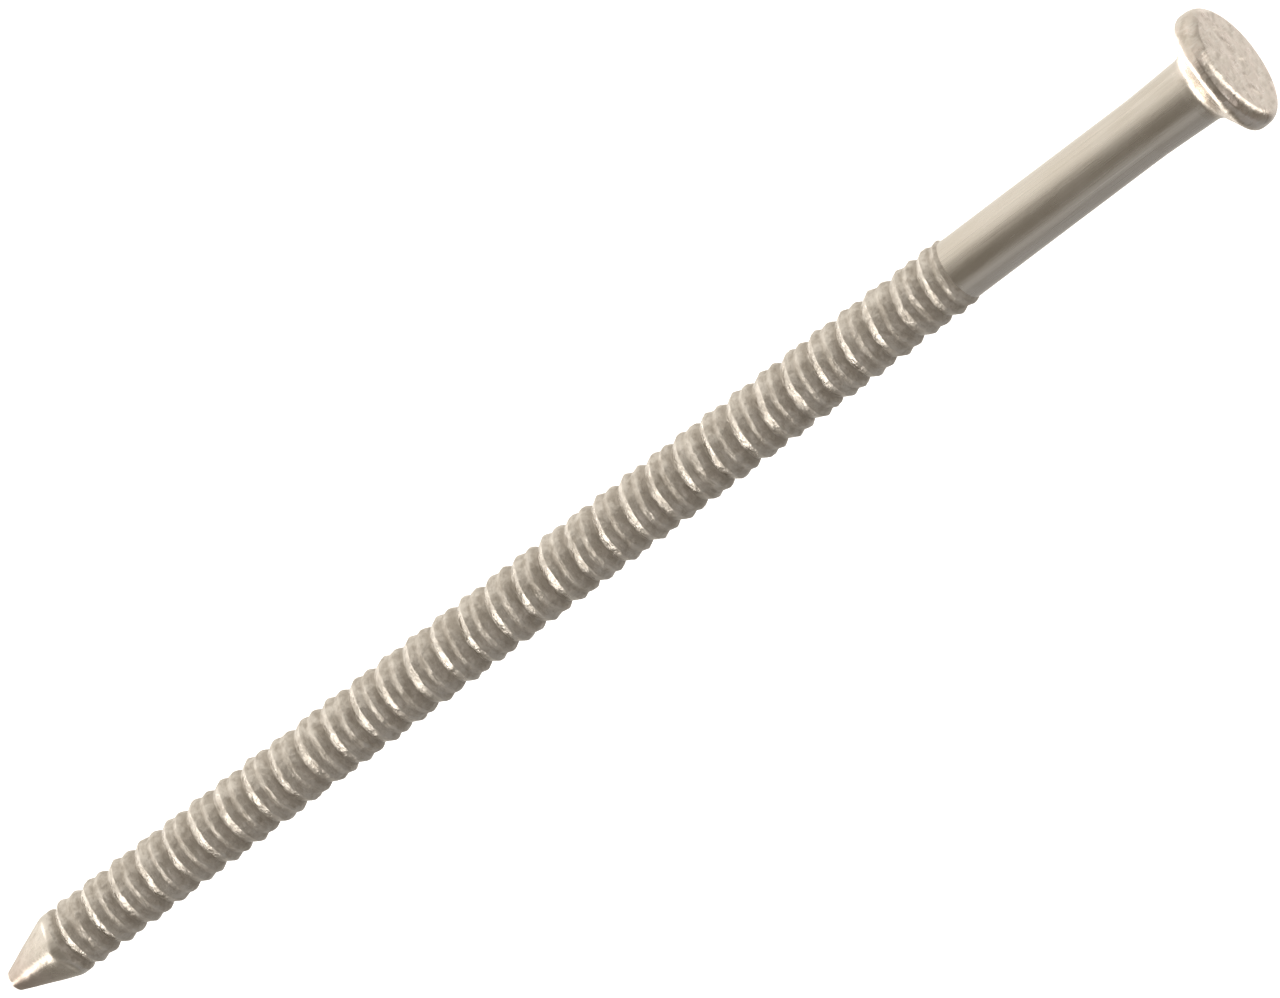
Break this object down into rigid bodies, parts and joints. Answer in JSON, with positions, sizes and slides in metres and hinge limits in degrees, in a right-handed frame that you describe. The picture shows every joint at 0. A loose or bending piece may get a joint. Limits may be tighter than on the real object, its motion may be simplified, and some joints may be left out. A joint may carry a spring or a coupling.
{
  "type": "annular ring shank nail",
  "caption": "Straight wire nail with a flat round head, plain upper shank, closely ringed lower shank and four-sided diamond point.",
  "frame": {"origin": "centre of the struck face of the head", "axes": "+Z out of the struck face along the wire, so the tip is the lowest point; the four edges of the diamond point lie on X and Y"},
  "size_m": [0.0056, 0.0056, 0.065],
  "materials": {
    "struck_steel": "stainless steel, matte and faintly dimpled where the head was struck",
    "drawn_steel": "stainless steel wire, satin, with fine lines drawn along it",
    "rolled_steel": "stainless steel, bright on the rolled lips and duller in the grooves",
    "pinched_steel": "stainless steel, smooth pressed facets"
  },
  "bodies": {
    "root": {"head": "struck_steel", "plain_shank": "drawn_steel", "ring_shank": "rolled_steel", "diamond_point": "pinched_steel"}
  },
  "joints": []
}
